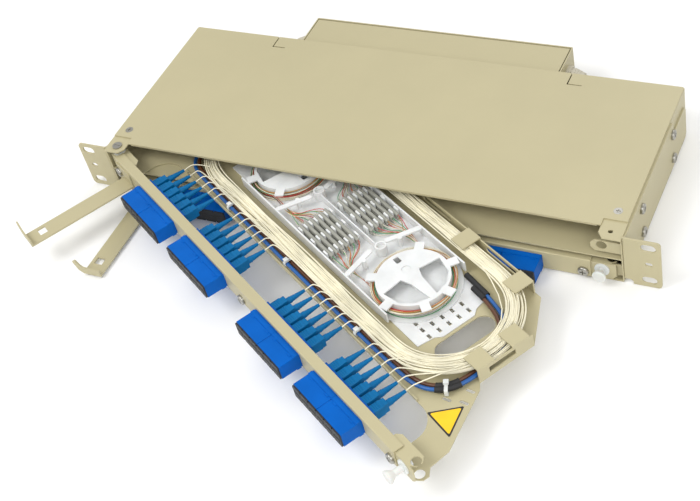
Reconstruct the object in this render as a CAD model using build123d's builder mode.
from build123d import *
import os
from math import radians, tan

os.makedirs("parts", exist_ok=True)

# A 19-inch, one-unit fibre termination box with two swing-out splice trays.
# Frame: +X to the right seen from the front, +Y to the rear, +Z up, origin at the centre
# of the rack-ear hole pattern, on the front face of the ears. Millimetres.

# ---- rack and chassis ----------------------------------------------------------------
rack_width = 482.6
rack_hole_span = 465.1
rack_hole_rise = 31.75
rack_slot_length = 11.0
rack_slot_height = 6.8
unit_height = 44.0
base_z = -unit_height / 2
chassis_width = 429.0
chassis_depth = 161.0
sheet = 1.0
half_width = chassis_width / 2
floor_top = base_z + sheet
cover_z = base_z + unit_height - sheet
flange_z = cover_z - sheet
shelf_z = base_z + 21.4

# ---- hinge, shared by both trays --------------------------------------------------------
hinge_x = -205.3
hinge_y = 5.5
pin_radius = 2.95
pin_hole_radius = 3.0
lug_inner_x = 197.3
lug_front_y = -1.8

# ---- ear brackets -------------------------------------------------------------------------
ear_sheet = 1.5
ear_flange_length = 154.0
ear_screw_y = (42.0, 121.0)
ear_screw_z = (base_z + 9.0, base_z + 32.0)

# ---- top cover ------------------------------------------------------------------------------
cover_front_y = 9.2
cover_notch_y = 15.6
cover_screw_x = 205.0
cover_screw_y = 24.8
screw_radius = 2.0
screw_hole_radius = 2.1
csk_head_radius = 3.4

# ---- rear cable box -----------------------------------------------------------------------
box_half_width = 115.0
box_depth = 38.0
box_height = 38.0
box_rear_y = chassis_depth + box_depth
lid_screw_xs = (-90.0, 0.0, 90.0)
lid_gap = 0.8
lid_skirt = 8.0
lid_screw_z = base_z + box_height - 5.0
gland_y = 180.0
gland_z = base_z + 20.0
gland_thread_radius = 9.3
gland_bore_radius = 4.5
clamp_points = [(-85.0, gland_y), (85.0, gland_y)]
clamp_height = 14.0

# ---- swing tray, in its own frame -------------------------------------------------------
# x runs along the front bar from the hinge, y to the rear, z up from the tray's underside
tray_span = 410.6
tray_middle = tray_span / 2
tray_pitch = 21.4
lower_tray_z = base_z + 1.6
upper_tray_open_angle = -30.9
deck_front_y = 32.4
deck_rear_y = 148.0
deck_end_x = 380.0
arm_inner_x = 388.0
arm_corner_radius = 18.5
bracket_front_y = -6.2
lug_z = 13.5
tray_hole_radius = 3.7
rail_height = 11.0
lip_height = 3.0
clip_z = 12.0
tie_slots = [(376.0, 47.7), (386.0, 54.4), (381.3, 63.3)]

# ---- front bar ---------------------------------------------------------------------------
bar_start_x = 6.0
bar_end_x = 396.5
bar_front_y = -7.2
bar_rear_y = 0.8
bar_bottom_z = -0.5
bar_top_z = 15.8
bar_screw_xs = (10.5, tray_middle, 391.0)
bar_screw_z = 4.5

# ---- adapters and connectors --------------------------------------------------------------
block_starts = (47.9, 124.9, 228.1, 303.6)
ports_per_block = 6
port_pitch = 9.55
ports_per_adapter = 3
adapter_width = ports_per_adapter * port_pitch - 0.15
adapter_front_y = -23.8
adapter_rear_y = 3.0
adapter_bottom_z = 0.4
adapter_top_z = 12.8
port_width = 7.6
port_height = 9.4
port_depth = 11.0
port_z = (adapter_bottom_z + adapter_top_z) / 2
boot_tip_y = 30.0

# ---- fibre routing -------------------------------------------------------------------------
race_centres = (84.0, 322.0)
race_y = 91.0
race_radius = 46.0
race_width = 12.0
race_bulge_centre = (325.0, 93.5)
race_bulge_radius = 52.5
race_bottom_z = 6.5
race_height = 5.2
pigtail_radius = 0.45
tube_radius = 1.5
tube_z = 4.1
shrink_radius = 2.1
tie_y = 37.65
tie_xs = (115.0, 198.0, 290.0)
sleeve_tie_place = (370.6, 52.3)
sleeve_tie_turn = 50.0

# ---- splice cassette ------------------------------------------------------------------------
reel_xs = (116.0, 282.0)
cassette_y = 91.5
cassette_radius = 34.5
cassette_bottom_z = 1.8
cassette_floor_z = 3.0
cassette_top_z = 11.5
splice_x = (reel_xs[0] + reel_xs[1]) / 2
splice_rows = (74.0, 110.0)
splices_per_row = 6
splice_pitch = 4.6
splice_length = 45.0
splice_radius = 1.45

# ---- latch ------------------------------------------------------------------------------------
latch_x = 404.5
latch_z = 8.5
latch_travel = 5.0
strike_y = 2.0
strike_hole_radius = 3.8

# ---- cable guide arm ------------------------------------------------------------------------
guide_xs = (15.0, 31.5)
guide_tip_y = -101.0
guide_sheet = 1.2
guide_root_y = bar_front_y - guide_sheet

ALIGN_UP = (Align.CENTER, Align.CENTER, Align.MIN)
ALIGN_DOWN = (Align.CENTER, Align.CENTER, Align.MAX)
FACING_FRONT = (90, 0, 0)
FACING_REAR = (-90, 0, 0)
FACING_RIGHT = (0, 90, 0)
FACING_LEFT = (0, -90, 0)


def front_plane(y):
    """A plane that faces the front at depth y, with its own x to the right and y up."""
    return Plane(origin=(0, y, 0), x_dir=(1, 0, 0), z_dir=(0, -1, 0))


def write_piece(piece, name, seat=Location()):
    """Put a finished piece at its seat, name it and write it."""
    placed = piece.moved(seat)
    placed.label = name
    export_step(placed, f"parts/{name}.step")


def group_of(piece, places):
    """The same piece at several places, as separate solids."""
    with BuildPart() as group:
        with Locations(*places):
            add(piece)
    return group.part


# ---- fasteners -------------------------------------------------------------------------------
def make_pan_screw(head_radius, head_height, shank_radius, shank_length):
    """A cross-recessed pan-head screw: the head stands up from z = 0, the shank hangs down."""
    with BuildPart() as screw:
        Cylinder(head_radius, head_height, align=ALIGN_UP)
        fillet(screw.edges().group_by(Axis.Z)[-1], head_height * 0.55)
        Cylinder(shank_radius, shank_length, align=ALIGN_DOWN)
        chamfer(screw.edges().group_by(Axis.Z)[0], shank_radius * 0.25)
        with Locations((0, 0, head_height)):
            Box(head_radius * 1.2, 0.8, head_height, mode=Mode.SUBTRACT)
            Box(0.8, head_radius * 1.2, head_height, mode=Mode.SUBTRACT)
    return screw.part


def make_countersunk_screw(shank_length):
    """A flush countersunk screw with its head's top at z = 0."""
    with BuildPart() as screw:
        with Locations((0, 0, -0.5)):
            Cone(csk_head_radius - 1.0, csk_head_radius - 0.1, 0.9)
        with Locations((0, 0, -0.9)):
            Cylinder(screw_radius - 0.4, shank_length - 0.9, align=ALIGN_DOWN)
        Box(3.4, 0.7, 1.4, mode=Mode.SUBTRACT)
        Box(0.7, 3.4, 1.4, mode=Mode.SUBTRACT)
    return screw.part


def make_hex_nut(across_flats, height, bore_radius):
    """A hexagonal nut that stands up from z = 0."""
    with BuildPart() as nut:
        with BuildSketch():
            RegularPolygon(across_flats / 2, 6, major_radius=False)
            Circle(bore_radius, mode=Mode.SUBTRACT)
        extrude(amount=height)
        chamfer(nut.edges().filter_by(Axis.Z, reverse=True).group_by(SortBy.LENGTH)[0], 0.2)
    return nut.part


# ---- chassis -----------------------------------------------------------------------------------
def make_chassis_pan():
    wall_height = flange_z + sheet - base_z
    with BuildPart() as pan:
        with BuildSketch(Plane.XY.offset(base_z)):
            with Locations((0, chassis_depth / 2)):
                Rectangle(chassis_width, chassis_depth)
        extrude(amount=wall_height)
        with BuildSketch(Plane.XY.offset(floor_top)):
            with Locations((0, (chassis_depth - sheet) / 2)):
                Rectangle(chassis_width - 2 * sheet, chassis_depth - sheet)
        extrude(amount=wall_height, mode=Mode.SUBTRACT)
        outer_edges = pan.edges().filter_by(Axis.Y).group_by(Axis.Z)[0]
        fillet(outer_edges, sheet)
        # inward top flanges, widened at the front into the hinge lugs
        for side in (-1, 1):
            with BuildSketch(Plane.XY.offset(flange_z)):
                with BuildLine():
                    Polyline(
                        (side * half_width, lug_front_y),
                        (side * (lug_inner_x + 4.0), lug_front_y),
                        (side * lug_inner_x, lug_front_y + 5.0),
                        (side * lug_inner_x, cover_notch_y),
                        (side * (lug_inner_x + 3.0), cover_notch_y + 3.0),
                        (side * (lug_inner_x + 3.0), chassis_depth),
                        (side * half_width, chassis_depth),
                        close=True,
                    )
                make_face()
            extrude(amount=sheet)
        # hinge pivots on the left, a spare pivot on the right
        with Locations((hinge_x, hinge_y, flange_z)):
            Hole(pin_hole_radius)
        with Locations((-hinge_x, hinge_y, flange_z + sheet)):
            Hole(1.8, depth=sheet * 2)
        # cover screws
        with Locations((-cover_screw_x, cover_screw_y, cover_z), (cover_screw_x, cover_screw_y, cover_z)):
            Hole(screw_radius - 0.3, depth=sheet * 2)
        # side screw holes, through both walls at once
        with BuildSketch(Plane.YZ):
            for y in ear_screw_y:
                for z in ear_screw_z:
                    with Locations((y, z)):
                        Circle(screw_hole_radius)
        extrude(amount=chassis_width, both=True, mode=Mode.SUBTRACT)
        # windows in the rear wall, one pair for each tray bay
        with Locations(*[(x, chassis_depth, z) for x in (-60, 60) for z in (base_z + 11.5, base_z + 32.5)]):
            Box(50, sheet * 4, 13, mode=Mode.SUBTRACT)
    return pan.part


def make_middle_shelf():
    with BuildPart() as shelf:
        with BuildSketch(Plane.XY.offset(shelf_z)):
            with Locations((0, 79.5)):
                Rectangle(2 * (half_width - sheet - 0.2), 159)
        extrude(amount=sheet)
        for side in (-1, 1):
            with Locations((side * (half_width - sheet - 0.7), 85, shelf_z)):
                Box(sheet, 120, 8, align=ALIGN_DOWN)
        with Locations((hinge_x, hinge_y, shelf_z)):
            Hole(pin_hole_radius)
    return shelf.part


def make_top_cover():
    slit = 1.0
    with BuildPart() as cover:
        with BuildSketch(Plane.XY.offset(cover_z)):
            with BuildLine():
                Polyline(
                    (-half_width + 0.2, chassis_depth),
                    (-half_width + 0.2, cover_notch_y + 0.4),
                    (-lug_inner_x, cover_notch_y + 0.4),
                    (-lug_inner_x, cover_front_y),
                    (lug_inner_x, cover_front_y),
                    (lug_inner_x, cover_notch_y + 0.4),
                    (half_width - 0.2, cover_notch_y + 0.4),
                    (half_width - 0.2, chassis_depth),
                    close=True,
                )
            make_face()
            # release slits for the two rear hooks
            for x in (-132.6, 127.4):
                with Locations((x, chassis_depth - 6.5)):
                    Rectangle(slit, 13, mode=Mode.SUBTRACT)
                with Locations((x + 5.5, chassis_depth - 13)):
                    Rectangle(12, slit, mode=Mode.SUBTRACT)
        extrude(amount=sheet)
        # folded hem under the front edge
        with Locations((0, cover_front_y + 3, cover_z)):
            Box(2 * lug_inner_x - 6, 6, sheet * 0.8, align=ALIGN_DOWN)
        fillet(cover.edges().filter_by(Axis.Z).group_by(SortBy.DISTANCE)[-1], 1.5)
        with Locations(*[(side * cover_screw_x, cover_screw_y, cover_z + sheet) for side in (-1, 1)]):
            CounterSinkHole(screw_radius - 0.1, csk_head_radius)
    return cover.part


def make_ear_bracket(side):
    face_inner_x = half_width
    with BuildPart() as bracket:
        with BuildSketch(front_plane(ear_sheet)):
            with BuildLine():
                Polyline(
                    (side * face_inner_x, base_z + 4.2),
                    (side * (face_inner_x + 5.0), base_z + 4.2),
                    (side * (face_inner_x + 6.6), base_z + 2.6),
                    (side * (face_inner_x + 6.6), base_z),
                    (side * rack_width / 2, base_z),
                    (side * rack_width / 2, -base_z),
                    (side * face_inner_x, -base_z),
                    close=True,
                )
            make_face()
            with Locations(*[(side * rack_hole_span / 2, turn * rack_hole_rise / 2) for turn in (-1, 1)]):
                SlotOverall(rack_slot_length, rack_slot_height, mode=Mode.SUBTRACT)
            with Locations((side * rack_hole_span / 2, 0)):
                SlotOverall(5.6, 4.0, mode=Mode.SUBTRACT)
        extrude(amount=ear_sheet)
        corners = bracket.edges().filter_by(Axis.Y).group_by(Axis.X)[0 if side < 0 else -1]
        fillet(corners, 3.0)
        # long flange along the chassis side, lower at its rear end
        with BuildSketch(Plane.YZ.offset(side * half_width)):
            with BuildLine():
                Polyline(
                    (0, base_z + 4.2),
                    (5, base_z + 0.6),
                    (ear_flange_length, base_z + 0.6),
                    (ear_flange_length + 3, base_z + 3.6),
                    (ear_flange_length + 3, base_z + 26),
                    (ear_flange_length, base_z + 30),
                    (127, base_z + 30),
                    (123, base_z + 41.4),
                    (6, base_z + 41.4),
                    (0, -base_z),
                    close=True,
                )
            make_face()
            for y in ear_screw_y:
                for z in ear_screw_z:
                    with Locations((y, z)):
                        Circle(screw_hole_radius, mode=Mode.SUBTRACT)
        extrude(amount=side * ear_sheet)
        fold = bracket.edges().filter_by(Axis.Z).filter_by_position(Axis.Y, -0.01, 0.01)
        fillet(fold.sort_by(SortBy.LENGTH)[-1], ear_sheet * 0.8)
    return bracket.part


def make_latch_strike(tray_z):
    """A small angle on the right wall whose hole takes a tray's latch plunger."""
    strike_x = hinge_x + latch_x
    tab_right_x = half_width - sheet
    tab_left_x = strike_x - 8.0
    with BuildPart() as strike:
        with BuildSketch(front_plane(strike_y + sheet)):
            with Locations(((tab_left_x + tab_right_x) / 2, tray_z + 7.5)):
                Rectangle(tab_right_x - tab_left_x, 10.4)
            with Locations((strike_x, tray_z + latch_z)):
                Circle(strike_hole_radius, mode=Mode.SUBTRACT)
        extrude(amount=sheet)
        inner_corners = strike.edges().filter_by(Axis.Y).group_by(Axis.X)[0]
        chamfer(inner_corners, 3.0)
        with Locations((tab_right_x - sheet / 2, strike_y + 8, tray_z + 7.5)):
            Box(sheet, 16, 10.4)
    return strike.part


def make_hinge_pin():
    with BuildPart() as pin:
        with Locations((hinge_x, hinge_y, base_z)):
            Cylinder(pin_radius, cover_z - base_z, align=ALIGN_UP)
        with Locations((hinge_x, hinge_y, cover_z)):
            Cylinder(4.0, 1.0, align=ALIGN_UP)
            Cylinder(1.6, 0.7, align=ALIGN_UP)
        chamfer(pin.edges().group_by(Axis.Z)[0], 0.4)
        with Locations((hinge_x, hinge_y, cover_z + 1.0)):
            Box(5.0, 0.9, 1.2, mode=Mode.SUBTRACT)
    return pin.part


# ---- rear cable box ----------------------------------------------------------------------------
def make_rear_cable_box():
    with BuildPart() as shell:
        with BuildSketch(Plane.XY.offset(base_z)):
            with Locations((0, chassis_depth + box_depth / 2)):
                Rectangle(2 * box_half_width, box_depth)
        extrude(amount=box_height)
        with BuildSketch(Plane.XY.offset(floor_top)):
            with Locations((0, chassis_depth + (box_depth - sheet) / 2)):
                Rectangle(2 * (box_half_width - sheet), box_depth - sheet)
        extrude(amount=box_height, mode=Mode.SUBTRACT)
        fillet(shell.edges().filter_by(Axis.Z).group_by(Axis.Y)[-1], sheet * 0.9)
        with BuildSketch(Plane.YZ):
            with Locations((gland_y, gland_z)):
                Circle(gland_thread_radius + 0.2)
        extrude(amount=chassis_width, both=True, mode=Mode.SUBTRACT)
        with BuildSketch(front_plane(box_rear_y)):
            with Locations(*[(x, lid_screw_z) for x in lid_screw_xs]):
                Circle(screw_hole_radius)
        extrude(amount=sheet * 2, both=True, mode=Mode.SUBTRACT)
    return shell.part


def make_rear_box_lid():
    """Flush lid between the box walls, with a skirt inside the rear wall for its screws."""
    lid_top_z = base_z + box_height
    lid_half_width = box_half_width - sheet - lid_gap
    lid_front_y = chassis_depth + lid_gap
    lid_rear_y = box_rear_y - sheet - lid_gap
    with BuildPart() as lid:
        with Locations((0, (lid_front_y + lid_rear_y) / 2, lid_top_z)):
            Box(2 * lid_half_width, lid_rear_y - lid_front_y, sheet, align=ALIGN_DOWN)
        with Locations((0, lid_rear_y - sheet / 2, lid_top_z)):
            Box(2 * lid_half_width, sheet, lid_skirt, align=ALIGN_DOWN)
        fillet(lid.edges().group_by(Axis.Z)[-1].filter_by(Axis.X).sort_by(Axis.Y)[-1], sheet * 0.9)
        with BuildSketch(front_plane(lid_rear_y)):
            with Locations(*[(x, lid_screw_z) for x in lid_screw_xs]):
                Circle(screw_hole_radius)
        extrude(amount=sheet * 3, both=True, mode=Mode.SUBTRACT)
    return lid.part


def make_gland_body():
    """Threaded nylon body of a cable gland: z = 0 lies on the outside of the wall."""
    with BuildPart() as body:
        with BuildSketch():
            RegularPolygon(10.4, 6, major_radius=False, rotation=30)
        extrude(amount=4.0)
        Cylinder(gland_thread_radius, 9.0, align=ALIGN_DOWN)
        with Locations((0, 0, 4.0)):
            Cylinder(8.2, 5.0, align=ALIGN_UP)
        with Locations((0, 0, -9.0)):
            Cylinder(6.2, 18.0, align=ALIGN_UP, mode=Mode.SUBTRACT)
    return body.part


def make_gland_nut():
    """Conical nut with rings, which closes on the gland's seal."""
    with BuildPart() as nut:
        with BuildSketch(Plane.XZ):
            with BuildLine():
                Polyline(
                    (8.4, 4.2), (10.2, 4.2), (10.2, 6.2), (7.2, 14.0), (5.4, 14.0), (5.4, 12.0), (8.4, 9.4),
                    close=True,
                )
            make_face()
        revolve(axis=Axis.Z)
        for index in range(3):
            with Locations((0, 0, 7.4 + index * 2.0)):
                Torus(9.9 - index * 0.77, 0.5, mode=Mode.SUBTRACT)
    return nut.part


def make_gland_seal():
    """Rubber sleeve that grips the cable."""
    with BuildPart() as seal:
        with Locations((0, 0, -2.0)):
            Cylinder(6.0, 13.0, align=ALIGN_UP)
            Cylinder(gland_bore_radius, 13.0, align=ALIGN_UP, mode=Mode.SUBTRACT)
    return seal.part


def make_strength_clamp():
    """Post that grips a cable's strength member under a screw."""
    with BuildPart() as clamp:
        Box(16, 12, 2, align=ALIGN_UP)
        with Locations((0, 0, 2)):
            Box(8, 12, clamp_height - 2, align=ALIGN_UP)
        fillet(clamp.edges().filter_by(Axis.Z), 1.0)
        with Locations((0, 0, clamp_height / 2)):
            Cylinder(1.6, 20, rotation=FACING_RIGHT, mode=Mode.SUBTRACT)
        with Locations((0, 0, clamp_height)):
            Hole(screw_hole_radius, depth=6)
    return clamp.part


# ---- swing tray sheet metal ----------------------------------------------------------------
def make_tray_plate():
    """Deck, two forward arms, end brackets with hinge lugs, rear rail and fibre clips."""
    mirror_plane = Plane.YZ.offset(tray_middle)
    with BuildPart() as plate:
        with BuildSketch() as deck:
            with BuildLine():
                near = Line((tray_middle, deck_front_y), (arm_inner_x - arm_corner_radius, deck_front_y))
                RadiusArc(near @ 1, (arm_inner_x, deck_front_y - arm_corner_radius), arm_corner_radius)
                Polyline(
                    (arm_inner_x, deck_front_y - arm_corner_radius),
                    (arm_inner_x, bracket_front_y),
                    (411, bracket_front_y),
                    (416, bracket_front_y + 5),
                    (416, 3.5),
                    (411, 8),
                    (409.5, 24),
                    (384.5, 68.5),
                    (deck_end_x, 72),
                    (deck_end_x, 118),
                    (351, deck_rear_y),
                    (tray_middle, deck_rear_y),
                    (tray_middle, deck_front_y),
                )
            make_face()
            mirror(about=mirror_plane)
            # hinge hole, lug hole, tie slots and the lightening window by the cassette
            with Locations((0, 0), (tray_span, 0)):
                Circle(tray_hole_radius, mode=Mode.SUBTRACT)
            with Locations(*tie_slots):
                SlotOverall(7, 2.6, rotation=20, mode=Mode.SUBTRACT)
            with Locations((343, 88.5)):
                SlotOverall(48, 17, rotation=90, mode=Mode.SUBTRACT)
            with Locations((315, 88)):
                Rectangle(24, 48, mode=Mode.SUBTRACT)
        extrude(amount=sheet)
        # upturned lip along the front of the deck
        with Locations((tray_middle, deck_front_y + sheet / 2, 0)):
            Box(2 * (364 - tray_middle), sheet, lip_height, align=ALIGN_UP)
        # end brackets: front plate and top lug
        for turn in (0, 1):
            with BuildSketch(front_plane(bracket_front_y + sheet)):
                with BuildLine():
                    Polyline(
                        (arm_inner_x, 0),
                        (411.5, 0),
                        (414.6, 3),
                        (414.6, lug_z + sheet),
                        (arm_inner_x, lug_z + sheet),
                        close=True,
                    )
                make_face()
                if turn:
                    mirror(about=mirror_plane, mode=Mode.REPLACE)
            extrude(amount=sheet)
            with BuildSketch(Plane.XY.offset(lug_z)):
                with BuildLine():
                    Polyline(
                        (385, bracket_front_y),
                        (410, bracket_front_y),
                        (414, -2.2),
                        (414, 2.4),
                        (411, 5.8),
                        (388.5, 5.8),
                        (385, 2.8),
                        close=True,
                    )
                make_face()
                if turn:
                    mirror(about=mirror_plane, mode=Mode.REPLACE)
                with Locations((tray_span, 0) if not turn else (0, 0)):
                    Circle(tray_hole_radius, mode=Mode.SUBTRACT)
            extrude(amount=sheet)
        # rear rail and right end panel with their windows
        with BuildSketch(front_plane(deck_rear_y)):
            with Locations((202.5, rail_height / 2)):
                Rectangle(285, rail_height)
            with Locations(*[(x, 6.5) for x in (82, 145, 235, 310)]):
                SlotOverall(34, 4.5, mode=Mode.SUBTRACT)
        extrude(amount=sheet)
        with BuildSketch(Plane.YZ.offset(deck_end_x - sheet)):
            with Locations((95, rail_height / 2)):
                Rectangle(46, rail_height)
            with Locations((92, 6.5)):
                Rectangle(22, 5, mode=Mode.SUBTRACT)
        extrude(amount=sheet)
        # clips bent over the fibre bundle
        for x in (100, 190, 280, 338):
            with Locations((x, deck_rear_y - sheet / 2, rail_height)):
                Box(14, sheet, clip_z + sheet - rail_height, align=ALIGN_UP)
            with Locations((x, deck_rear_y - 8, clip_z)):
                Box(14, 16, sheet, align=ALIGN_UP)
        for y in (79, 108):
            with Locations((deck_end_x - sheet / 2, y, rail_height)):
                Box(sheet, 14, clip_z + sheet - rail_height, align=ALIGN_UP)
            with Locations((deck_end_x - 7.5, y, clip_z)):
                Box(15, 14, sheet, align=ALIGN_UP)
        # latch and bar screw holes in the end brackets
        with BuildSketch(front_plane(bracket_front_y + sheet)):
            with Locations((latch_x, latch_z)):
                Circle(3.4)
            with Locations((bar_screw_xs[0], bar_screw_z), (bar_screw_xs[-1], bar_screw_z)):
                Circle(screw_hole_radius)
        extrude(amount=sheet * 2, both=True, mode=Mode.SUBTRACT)
    return plate.part


def make_front_bar():
    """Channel across the tray's front with a window for each adapter block."""
    bar_length = bar_end_x - bar_start_x
    bar_centre_x = (bar_end_x + bar_start_x) / 2
    window_bottom = adapter_bottom_z - 0.1
    window_height = adapter_top_z - adapter_bottom_z + 0.2
    block_length = ports_per_block * port_pitch
    with BuildPart() as bar:
        with Locations((bar_centre_x, bar_front_y + sheet / 2, bar_bottom_z)):
            Box(bar_length, sheet, bar_top_z - bar_bottom_z, align=ALIGN_UP)
        with Locations((bar_centre_x, (bar_front_y + bar_rear_y) / 2, bar_top_z)):
            Box(bar_length, bar_rear_y - bar_front_y, sheet, align=ALIGN_DOWN)
        with Locations((tray_middle, bar_front_y + 0.75, bar_bottom_z)):
            Box(360, 1.5, 0.8, align=ALIGN_UP)
        top_front = bar.edges().filter_by(Axis.X).group_by(Axis.Z)[-1].sort_by(Axis.Y)[0]
        fillet(top_front, sheet * 0.9)
        with BuildSketch(front_plane(bar_front_y)):
            for start in block_starts:
                with Locations((start + block_length / 2, window_bottom + window_height / 2)):
                    Rectangle(block_length + 0.3, window_height)
            for x in bar_screw_xs:
                with Locations((x, bar_screw_z)):
                    Circle(screw_hole_radius)
        extrude(amount=sheet * 3, both=True, mode=Mode.SUBTRACT)
    return bar.part


def make_cable_guide_arm():
    """Flat strip ahead of the bar that carries patch cords, with a hooked tip."""
    width = guide_xs[1] - guide_xs[0]
    middle = (guide_xs[0] + guide_xs[1]) / 2
    with BuildPart() as arm:
        with BuildSketch():
            with Locations((middle, (guide_tip_y + bar_front_y) / 2)):
                Rectangle(width, bar_front_y - guide_tip_y)
            with Locations((middle - 1.5, guide_tip_y + 14)):
                Rectangle(7.5, 6.5, mode=Mode.SUBTRACT)
        extrude(amount=guide_sheet)
        # root flange against the bar
        with BuildSketch(front_plane(bar_front_y)):
            with Locations((20, 6.5)):
                Rectangle(23, 13)
            with Locations((bar_screw_xs[0], bar_screw_z)):
                Circle(screw_hole_radius, mode=Mode.SUBTRACT)
        extrude(amount=guide_sheet)
        # upturned tip with its leaning finger
        with BuildSketch(front_plane(guide_tip_y + guide_sheet)):
            with BuildLine():
                Polyline(
                    (guide_xs[1], 0),
                    (guide_xs[1], 6.5),
                    (guide_xs[0] + 1.5, 6.5),
                    (guide_xs[0] - 0.5, 8.0),
                    (guide_xs[0] - 4.0, 13.5),
                    (guide_xs[0] - 7.0, 11.5),
                    (guide_xs[0] - 4.0, 3.0),
                    (guide_xs[0], 0),
                    close=True,
                )
            make_face()
        extrude(amount=guide_sheet)
    return arm.part


def make_hinge_bush():
    """Flanged nylon bush; the flange lies below z = 0 and the barrel fills the sheet above."""
    with BuildPart() as bush:
        Cylinder(tray_hole_radius, sheet, align=ALIGN_UP)
        Cylinder(5.2, 0.5, align=ALIGN_DOWN)
        Cylinder(pin_hole_radius + 0.02, 4.0, mode=Mode.SUBTRACT)
    return bush.part


# ---- latch ------------------------------------------------------------------------------------
def revolve_about_latch(points):
    """Turn a profile of (y, radius) points about the latch axis."""
    latch_plane = Plane(origin=(latch_x, 0, latch_z), x_dir=(0, 1, 0), z_dir=(1, 0, 0))
    with BuildPart() as turned:
        with BuildSketch(latch_plane):
            with BuildLine():
                Polyline(*points, close=True)
            make_face()
        revolve(axis=Axis((latch_x, 0, latch_z), (0, 1, 0)))
    return turned.part


def make_latch_grommet():
    """Flanged grommet whose four legs pass through the strike and are spread by the plunger."""
    collar = revolve_about_latch([
        (-7.6, 2.5), (-7.6, 4.6), (-7.2, 5.4), (-6.2, 5.4),
        (-6.2, 3.3), (-1.4, 3.3), (-0.8, 2.9), (-0.8, 2.5),
    ])
    with BuildPart() as grommet:
        add(collar)
        with Locations((latch_x, -0.8, latch_z)):
            Box(0.8, 7.2, 8.0, mode=Mode.SUBTRACT)
            Box(8.0, 7.2, 0.8, mode=Mode.SUBTRACT)
    return grommet.part


def make_latch_plunger():
    return revolve_about_latch([
        (-14.6, 0), (-14.6, 4.4), (-14.0, 5.0), (-12.8, 4.8), (-9.0, 2.42), (0.0, 2.42), (0.6, 1.8), (0.6, 0),
    ])


# ---- adapters and connectors --------------------------------------------------------------
def port_places():
    """One place per port, at the port's axis height on the bar's zero line."""
    return [
        Location((start + (index + 0.5) * port_pitch, 0, port_z))
        for start in block_starts
        for index in range(ports_per_block)
    ]


def adapter_places():
    """One place per three-port adapter housing."""
    housing_pitch = ports_per_adapter * port_pitch
    return [
        Location((start + (index + 0.5) * housing_pitch, 0, port_z))
        for start in block_starts
        for index in range(ports_per_block // ports_per_adapter)
    ]


def make_adapter():
    """Housing with three ports: shell, raised rib, latch bumps, sockets and ferrule bores."""
    length = adapter_rear_y - adapter_front_y
    height = adapter_top_z - adapter_bottom_z
    middle_y = (adapter_rear_y + adapter_front_y) / 2
    with BuildPart() as adapter:
        with Locations((0, middle_y, 0)):
            Box(adapter_width, length, height)
        fillet(adapter.edges().filter_by(Axis.Y), 0.6)
        with Locations((0, -10.0, 0)):
            Box(adapter_width, 3.4, height + 1.0)
        with Locations((-port_pitch, -12.0, 0), (port_pitch, -12.0, 0)):
            Box(3.6, 2.4, height + 0.6)
        for x in (-port_pitch, 0, port_pitch):
            with Locations((x, adapter_front_y + port_depth / 2, 0), (x, adapter_rear_y - port_depth / 2, 0)):
                Box(port_width, port_depth, port_height, mode=Mode.SUBTRACT)
            with Locations((x, 0, 0)):
                Cylinder(1.3, 2 * length, rotation=FACING_FRONT, mode=Mode.SUBTRACT)
    return adapter.part


def make_dust_cap():
    rim_thickness = 1.2
    front_y = adapter_front_y - 0.1 - rim_thickness
    with BuildPart() as cap:
        with Locations((0, front_y + rim_thickness / 2, 0)):
            Box(9.2, rim_thickness, 11.8)
        fillet(cap.edges().filter_by(Axis.Y), 1.2)
        with Locations((0, front_y - 0.2, 0)):
            Box(6.4, 0.4, 3.0)
        with Locations((0, adapter_front_y + 3.5, 0)):
            Box(7.2, 7.2, 9.0)
        fillet(cap.edges().group_by(Axis.Y)[0], 0.35)
    return cap.part


def make_connector():
    with BuildPart() as connector:
        with Locations((0, 2.5, 0)):
            Box(7.2, 17.0, 9.0)
        chamfer(connector.edges().filter_by(Axis.Y), 0.5)
        with Locations((0, 12.7, 0)):
            Box(6.2, 3.6, 7.8)
        # finger grooves on the grip
        for y in (5.4, 7.0, 8.6):
            for z in (-4.5, 4.5):
                with Locations((0, y, z)):
                    Box(5.4, 0.7, 0.7, mode=Mode.SUBTRACT)
        with Locations((0, 14.5, 0)):
            Cylinder(2.5, 3.6, rotation=FACING_REAR, align=ALIGN_UP)
    return connector.part


def make_connector_boot():
    start_y = 18.2
    length = boot_tip_y - start_y
    ring_count = 4
    with BuildPart() as boot:
        with Locations((0, start_y, 0)):
            Cone(2.3, 1.15, length, rotation=FACING_REAR, align=ALIGN_UP)
        for index in range(ring_count):
            ring_y = start_y + 2.2 + index * 2.1
            with Locations((0, ring_y, 0)):
                Torus(2.3 - index * 0.2, 0.35, rotation=FACING_FRONT, mode=Mode.SUBTRACT)
    return boot.part


# ---- fibres ------------------------------------------------------------------------------------
def corner_radii(points):
    """The largest comfortable radius at each inner point of a route."""
    radii = []
    for before, here, after in zip(points, points[1:], points[2:]):
        run_in = Vector(*here) - Vector(*before)
        run_out = Vector(*after) - Vector(*here)
        turn = radians(run_in.get_angle(run_out))
        radii.append(0.45 * min(run_in.length, run_out.length) / tan(turn / 2))
    return radii


def make_tube(points, radius):
    """A round tube along straight runs joined by tangent arcs."""
    with BuildPart() as tube:
        with BuildLine() as route:
            if len(points) > 2:
                FilletPolyline(*points, radius=corner_radii(points))
            else:
                Line(*points)
        start = route.wires()[0]
        with BuildSketch(Plane(origin=start @ 0, z_dir=start % 0)):
            Circle(radius)
        sweep(path=start)
    return tube.part


def at_height(route, z):
    return [(x, y, z) for x, y in route]


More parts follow.
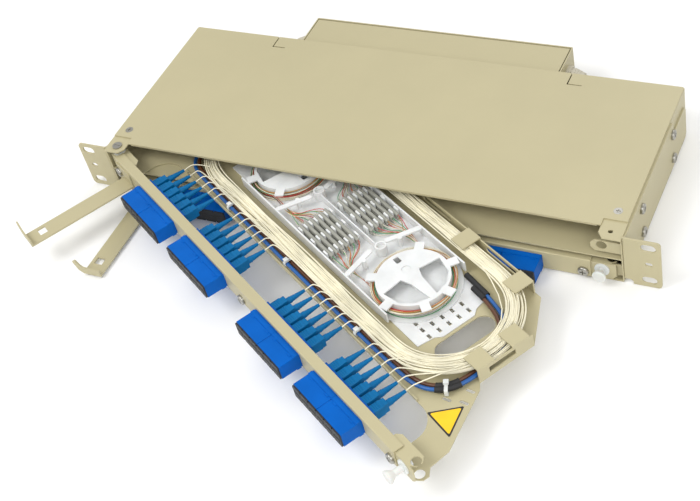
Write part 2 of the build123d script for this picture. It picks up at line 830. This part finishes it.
blue_route = [
    (33.5, 74.0), (36.0, 56.0), (46.0, 42.0), (64.0, 36.0), (338.0, 36.0), (360.0, 39.2),
    (373.2, 52.0), (376.6, 70.0), (373.6, 96.0), (356.0, 115.6), (331.0, 121.2), (301.0, 122.9),
]
brown_route = [
    (36.9, 74.0), (39.0, 57.4), (48.2, 45.0), (65.0, 39.3), (337.4, 39.3), (358.6, 42.4),
    (370.4, 53.8), (373.2, 70.0), (370.2, 94.4), (354.0, 112.2), (330.0, 117.8), (314.0, 118.6),
]


def make_buffer_tubes():
    with BuildPart() as tubes:
        for route in (blue_route, brown_route):
            add(make_tube(at_height(route, tube_z), tube_radius))
    return tubes.part


def between(first, second, share):
    return tuple(a + (b - a) * share for a, b in zip(first, second))


def make_heat_shrinks():
    """Two double sleeves: one round the bend by the latch, one at the cassette entry."""
    with BuildPart() as sleeves:
        for route in (blue_route, brown_route):
            bend = [between(route[5], route[6], 0.5), route[6], between(route[6], route[7], 0.5)]
            entry = [between(route[-2], route[-1], 0.15), route[-1]]
            add(make_shrink(bend, route[5:8]))
            add(make_tube(at_height(entry, tube_z), shrink_radius))
        for route in (blue_route, brown_route):
            add(make_tube(at_height(route, tube_z), tube_radius), mode=Mode.SUBTRACT)
    return sleeves.part


def make_shrink(bend, corner):
    """A sleeve round one corner of a tube, with that corner's own radius."""
    radius = corner_radii(at_height(corner, tube_z))
    with BuildPart() as sleeve:
        with BuildLine() as route:
            FilletPolyline(*at_height(bend, tube_z), radius=radius)
        path = route.wires()[0]
        with BuildSketch(Plane(origin=path @ 0, z_dir=path % 0)):
            Circle(shrink_radius)
        sweep(path=path)
    return sleeve.part


def make_cable_tie(loop_width, loop_height, head_y):
    """Nylon strap round two tubes side by side, centred on them, with its head on top."""
    strap = 0.7
    strap_width = 2.5
    with BuildPart() as tie:
        with BuildSketch(Plane.YZ.offset(-strap_width / 2)):
            RectangleRounded(loop_width, loop_height, 1.5)
            RectangleRounded(loop_width - 2 * strap, loop_height - 2 * strap, 1.2, mode=Mode.SUBTRACT)
        extrude(amount=strap_width)
        with Locations((0, head_y, loop_height / 2)):
            Box(3.6, 3.4, 1.8, align=ALIGN_UP)
    return tie.part


def make_cable_ties():
    """Three ties on the straight tubes and a wider one round the sleeves by the latch."""
    with BuildPart() as ties:
        with Locations(*[(x, tie_y, tube_z) for x in tie_xs]):
            add(make_cable_tie(7.9, 4.6, -1.45))
        with Locations(Location((*sleeve_tie_place, tube_z), (0, 0, sleeve_tie_turn))):
            add(make_cable_tie(11.0, 6.0, 1.6))
    return ties.part


def make_pigtail_bundle():
    """The coiled pigtails as one closed race round the cassette, looser round the latch end."""
    centre_x = sum(race_centres) / 2
    straight = race_centres[1] - race_centres[0]
    outer = race_radius + race_width / 2
    inner = race_radius - race_width / 2
    with BuildPart() as bundle:
        with BuildSketch(Plane.XY.offset(race_bottom_z)):
            with Locations((centre_x, race_y)):
                SlotOverall(straight + 2 * outer, 2 * outer)
            with Locations(race_bulge_centre):
                Circle(race_bulge_radius)
            with Locations((centre_x, race_y)):
                SlotOverall(straight + 2 * inner, 2 * inner, mode=Mode.SUBTRACT)
        extrude(amount=race_height)
        fillet(bundle.edges(), 2.0)
    return bundle.part


def make_pigtail_tails():
    """The separate pigtails between the boots and the bundle."""
    side_step = 6.0
    bundle_side_y = race_y - race_radius - race_width / 2
    with BuildPart() as tails:
        add(make_tube([
            (0, boot_tip_y + 0.15, 0),
            (0, boot_tip_y + 3.2, 0.4),
            (side_step, bundle_side_y - 3.2, 1.6),
            (side_step, bundle_side_y - 0.2, 2.0),
        ], pigtail_radius))
    return group_of(tails.part, port_places())


# ---- splice cassette ------------------------------------------------------------------------
def make_cassette_mount():
    """Thin perforated plate that carries the cassette."""
    with BuildPart() as mount:
        with BuildSketch(Plane.XY.offset(sheet)):
            with BuildLine():
                Polyline(
                    (74, 62), (74, 121), (326, 121.5), (328.5, 110), (332.5, 105),
                    (332.5, 78), (329, 73), (327.5, 60), close=True,
                )
            make_face()
            with Locations((318, 88)):
                with GridLocations(8, 8.5, 3, 5):
                    Rectangle(4.6, 2.4, mode=Mode.SUBTRACT)
            for x in reel_xs:
                with Locations((x, cassette_y)):
                    Circle(16, mode=Mode.SUBTRACT)
        extrude(amount=cassette_bottom_z - sheet)
    return mount.part


def make_cassette_body():
    """Moulded cassette: floor, long rims, two fibre reels, pegs and retaining bars."""
    straight = reel_xs[1] - reel_xs[0]
    drum_radius = 27.0
    plate_thickness = 1.2
    plate_z = cassette_top_z - plate_thickness
    wall_height = cassette_top_z - cassette_floor_z
    with BuildPart() as body:
        with BuildSketch(Plane.XY.offset(cassette_bottom_z)):
            with Locations((splice_x, cassette_y)):
                SlotOverall(straight + 2 * cassette_radius, 2 * cassette_radius)
        extrude(amount=cassette_floor_z - cassette_bottom_z)
        # long rims, open round both ends
        for side in (-1, 1):
            with Locations((splice_x, cassette_y + side * (cassette_radius - 0.6), cassette_floor_z)):
                Box(straight + 30, 1.2, wall_height, align=ALIGN_UP)
        for side, x in zip((-1, 1), reel_xs):
            # drum wall and the plate on it, with two windows and a hub dimple
            with BuildSketch(Plane.XY.offset(cassette_floor_z)):
                with Locations((x, cassette_y)):
                    Circle(drum_radius)
                    Circle(drum_radius - 1.4, mode=Mode.SUBTRACT)
            extrude(amount=wall_height)
            with BuildSketch(Plane.XY.offset(plate_z)):
                with Locations((x, cassette_y)):
                    Circle(drum_radius)
                for turn in (-1, 1):
                    with BuildLine():
                        Polyline(
                            (x - side * 4, cassette_y + turn * 8),
                            (x + side * 4, cassette_y + turn * 5),
                            (x + side * 24, cassette_y + turn * 3),
                            (x + side * 21, cassette_y + turn * 13.5),
                            (x + side * 13, cassette_y + turn * 21.5),
                            (x - side * 2, cassette_y + turn * 24.5),
                            close=True,
                        )
                    make_face(mode=Mode.SUBTRACT)
                with Locations((x - side * 9.5, cassette_y + 1)):
                    Circle(3.6, mode=Mode.SUBTRACT)
                with Locations((x - side * 21, cassette_y + 1.5)):
                    RectangleRounded(6.0, 4.4, 1.0, mode=Mode.SUBTRACT)
            extrude(amount=plate_thickness)
            with Locations((x - side * 9.5, cassette_y + 1, cassette_floor_z)):
                Cylinder(4.8, wall_height - 0.9, align=ALIGN_UP)
            # tongues over the wound fibre
            with BuildSketch(Plane.XY.offset(plate_z)):
                for angle in (20, 75, 135, 225, 285, 340):
                    turned = angle if side > 0 else 180 - angle
                    with Locations((x, cassette_y)):
                        with PolarLocations(drum_radius + 2.6, 1, start_angle=turned):
                            Rectangle(8.6, 7.0)
            extrude(amount=plate_thickness)
            # peg and the two slanted bars beside the splices
            with Locations((splice_x + side * 41, cassette_y + 1.5, cassette_floor_z)):
                Cylinder(4.4, wall_height, align=ALIGN_UP)
            with BuildSketch(Plane.XY.offset(plate_z)):
                for turn in (-1, 1):
                    with Locations((splice_x + side * 43.5, cassette_y + turn * 20.0)):
                        SlotOverall(29.0, 4.2, rotation=90 - side * turn * 16)
            extrude(amount=plate_thickness)
            post_x = splice_x + side * 44.6
            with Locations(*[(post_x, cassette_y + turn * 16, cassette_floor_z) for turn in (-1, 1)]):
                Cylinder(1.8, wall_height, align=ALIGN_UP)
            with Locations((splice_x + side * 41, cassette_y + 1.5, cassette_top_z)):
                Hole(3.2, depth=3.0)
        # low wall between the two splice groups
        with Locations((splice_x, cassette_y + 0.5, cassette_floor_z)):
            Box(2 * 36.9, 0.9, wall_height - 1.5, align=ALIGN_UP)
    return body.part


def splice_ys():
    offsets = [(index - (splices_per_row - 1) / 2) * splice_pitch for index in range(splices_per_row)]
    return [row + offset for row in splice_rows for offset in offsets]


def make_splice_combs():
    """Slotted holders for the splice sleeves, two layers deep."""
    comb_height = 7.6
    comb_width = splices_per_row * splice_pitch + 1.4
    with BuildPart() as combs:
        for row in splice_rows:
            for step in (-17, 0, 17):
                with Locations((splice_x + step, row, cassette_floor_z)):
                    Box(5, comb_width, comb_height, align=ALIGN_UP)
        for y in splice_ys():
            with Locations((splice_x, y, cassette_floor_z + 1.0)):
                Box(60, 2 * splice_radius + 0.3, comb_height, align=ALIGN_UP, mode=Mode.SUBTRACT)
    return combs.part


def make_splice_sleeve():
    with BuildPart() as sleeve:
        Cylinder(splice_radius, splice_length, rotation=FACING_RIGHT)
        fillet(sleeve.edges().filter_by(GeomType.CIRCLE), 0.5)
    return sleeve.part


def splice_places():
    lower_z = cassette_floor_z + 1.1 + splice_radius
    upper_z = lower_z + 2 * splice_radius + 0.2
    return [Location((splice_x, y, z)) for y in splice_ys() for z in (lower_z, upper_z)]


def make_fibre_coils():
    """Bare fibre stored round the two reels."""
    with BuildPart() as coils:
        for x in reel_xs:
            with BuildSketch(Plane.XY.offset(cassette_floor_z + 0.2)):
                with Locations((x, cassette_y)):
                    Circle(32.4)
                    Circle(27.4, mode=Mode.SUBTRACT)
            extrude(amount=6.0)
        fillet(coils.edges(), 1.2)
    return coils.part


# ---- write the chassis pieces ---------------------------------------------------------------
write_piece(make_chassis_pan(), "chassis_pan")
write_piece(make_middle_shelf(), "middle_shelf")
write_piece(make_top_cover(), "top_cover")
write_piece(make_ear_bracket(-1), "left_ear_bracket")
write_piece(make_ear_bracket(1), "right_ear_bracket")
write_piece(make_hinge_pin(), "hinge_pin")
write_piece(make_rear_cable_box(), "rear_cable_box")
write_piece(make_rear_box_lid(), "rear_box_lid")

upper_tray_z = lower_tray_z + tray_pitch
with BuildPart() as latch_strikes:
    add(make_latch_strike(lower_tray_z))
    add(make_latch_strike(upper_tray_z))
write_piece(latch_strikes.part, "latch_strikes")

side_screw = make_pan_screw(4.0, 2.4, screw_radius, 4.6)
side_nut = make_hex_nut(7.0, 2.2, screw_hole_radius)
side_x = half_width + ear_sheet
inner_x = half_width - sheet
side_points = [(y, z) for y in ear_screw_y for z in ear_screw_z]
side_screw_places = [Location((side_x, y, z), FACING_RIGHT) for y, z in side_points]
side_screw_places += [Location((-side_x, y, z), FACING_LEFT) for y, z in side_points]
side_nut_places = [Location((inner_x, y, z), FACING_LEFT) for y, z in side_points]
side_nut_places += [Location((-inner_x, y, z), FACING_RIGHT) for y, z in side_points]
write_piece(group_of(side_screw, side_screw_places), "ear_bracket_screws")
write_piece(group_of(side_nut, side_nut_places), "ear_bracket_nuts")

cover_screw = make_countersunk_screw(5.0)
cover_screw_places = [Location((side * cover_screw_x, cover_screw_y, cover_z + sheet)) for side in (-1, 1)]
write_piece(group_of(cover_screw, cover_screw_places), "cover_screws")

lid_screw = make_pan_screw(3.2, 1.8, screw_radius, 4.0)
lid_screw_places = [Location((x, box_rear_y, lid_screw_z), FACING_REAR) for x in lid_screw_xs]
lid_screw_places += [Location((x, y, floor_top + clamp_height)) for x, y in clamp_points]
write_piece(group_of(lid_screw, lid_screw_places), "rear_box_screws")

gland_places = [
    Location((box_half_width, gland_y, gland_z), FACING_RIGHT),
    Location((-box_half_width, gland_y, gland_z), FACING_LEFT),
]
locknut_places = [
    Location((box_half_width - sheet, gland_y, gland_z), FACING_LEFT),
    Location((-box_half_width + sheet, gland_y, gland_z), FACING_RIGHT),
]
write_piece(group_of(make_gland_body(), gland_places), "gland_bodies")
write_piece(group_of(make_gland_nut(), gland_places), "gland_nuts")
write_piece(group_of(make_gland_seal(), gland_places), "gland_seals")
write_piece(group_of(make_hex_nut(24.0, 4.0, gland_thread_radius + 0.05), locknut_places), "gland_locknuts")

clamp_places = [Location((x, y, floor_top)) for x, y in clamp_points]
write_piece(group_of(make_strength_clamp(), clamp_places), "strength_clamps")

# ---- write the two trays -----------------------------------------------------------------------
bush_places = [Location((0, 0, 0)), Location((0, 0, lug_z + sheet), (180, 0, 0))]
bar_screw = make_pan_screw(4.0, 2.4, screw_radius, 5.0)
bar_screw_places = [
    Location((x, guide_root_y if x == bar_screw_xs[0] else bar_front_y, bar_screw_z), FACING_FRONT)
    for x in bar_screw_xs
]

tray_pieces = {
    "tray_plate": make_tray_plate(),
    "front_bar": make_front_bar(),
    "cable_guide_arm": make_cable_guide_arm(),
    "bar_screws": group_of(bar_screw, bar_screw_places),
    "hinge_bushes": group_of(make_hinge_bush(), bush_places),
    "latch_grommet": make_latch_grommet(),
    "latch_plunger": make_latch_plunger(),
    "adapters": group_of(make_adapter(), adapter_places()),
    "dust_caps": group_of(make_dust_cap(), port_places()),
    "connectors": group_of(make_connector(), port_places()),
    "connector_boots": group_of(make_connector_boot(), port_places()),
    "pigtail_tails": make_pigtail_tails(),
    "pigtail_bundle": make_pigtail_bundle(),
    "buffer_tubes": make_buffer_tubes(),
    "heat_shrinks": make_heat_shrinks(),
    "cable_ties": make_cable_ties(),
    "cassette_mount": make_cassette_mount(),
    "splice_cassette": make_cassette_body(),
    "splice_combs": make_splice_combs(),
    "splice_sleeves": group_of(make_splice_sleeve(), splice_places()),
    "fibre_coils": make_fibre_coils(),
}

tray_seats = {
    "lower": Location((hinge_x, hinge_y, lower_tray_z)),
    "upper": Location((hinge_x, hinge_y, upper_tray_z), (0, 0, upper_tray_open_angle)),
}
# the lower plunger is pushed home in its strike, the upper one is pulled out
plunger_pull = {"lower": 0.0, "upper": latch_travel}

for deck_name, seat in tray_seats.items():
    for piece_name, piece in tray_pieces.items():
        place = seat
        if piece_name == "latch_plunger":
            place = seat * Location((0, -plunger_pull[deck_name], 0))
        write_piece(piece, f"{deck_name}_{piece_name}", place)
